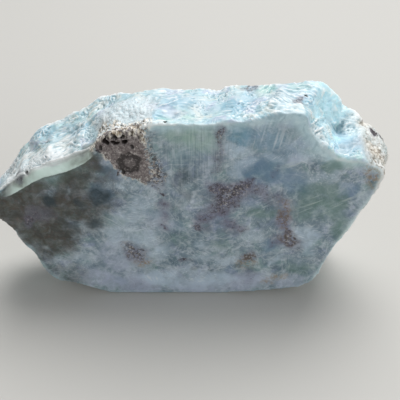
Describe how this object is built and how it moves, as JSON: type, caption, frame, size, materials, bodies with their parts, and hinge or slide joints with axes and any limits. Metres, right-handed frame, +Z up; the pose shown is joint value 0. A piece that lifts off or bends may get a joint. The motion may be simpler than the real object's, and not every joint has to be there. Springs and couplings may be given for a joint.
{
  "type": "raw larimar stone",
  "caption": "Rough blue-green mineral slab with a flat sawn front, a broken and stepped top edge and a weathered back. It stands on its long lower edge.",
  "frame": {"origin": "bottom centre of the stone's bounding box, on the surface that it stands on", "axes": "+Z up, +X along the slab towards its blunt end, -Y out of the sawn face, +Y towards the weathered back"},
  "size_m": [0.1008, 0.0276, 0.0575],
  "materials": {
    "larimar": "matt sawn face, rough broken and weathered elsewhere"
  },
  "bodies": {
    "root": {"larimar": "larimar"}
  },
  "joints": []
}
